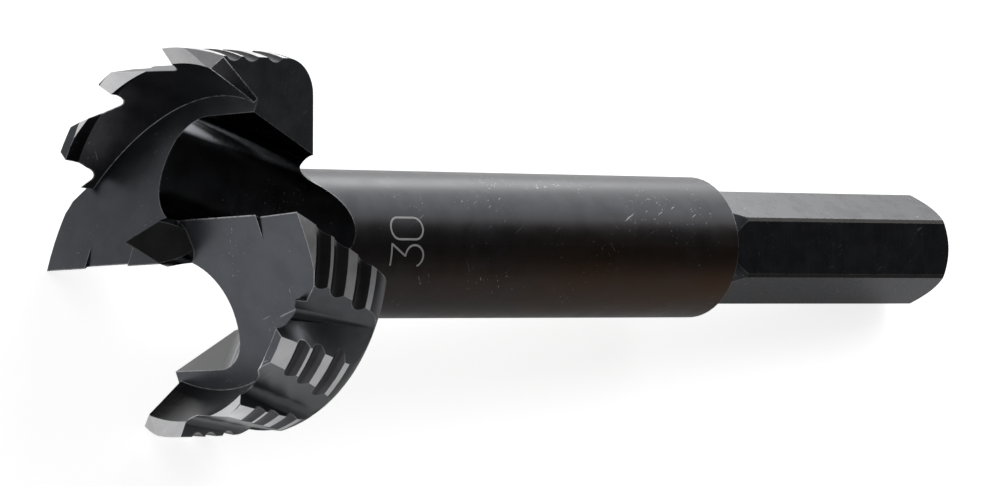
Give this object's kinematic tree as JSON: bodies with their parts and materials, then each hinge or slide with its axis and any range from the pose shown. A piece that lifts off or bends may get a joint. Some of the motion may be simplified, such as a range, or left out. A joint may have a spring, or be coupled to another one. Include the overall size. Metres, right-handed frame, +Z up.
{
  "type": "forstner bit",
  "caption": "Rim-toothed boring bit for wood: disc-shaped head with two main edges, saw-like toothed rim, centre point and slanting chip windows, on a round body with a six-sided shank.",
  "frame": {"origin": "on the surface that the bit lies on, under the middle of its bounding box", "axes": "+X along the lying bit from the cutting end towards the shank end, +Z up; the bit's own axis lies in the XZ plane and falls 5.7 degrees towards the shank"},
  "size_m": [0.0898, 0.03, 0.0262],
  "materials": {
    "bit_steel": "dark oxide over ground and milled steel, satin, with bright ground lands and worn edges"
  },
  "bodies": {
    "root": {"boring_bit": "bit_steel"}
  },
  "joints": []
}
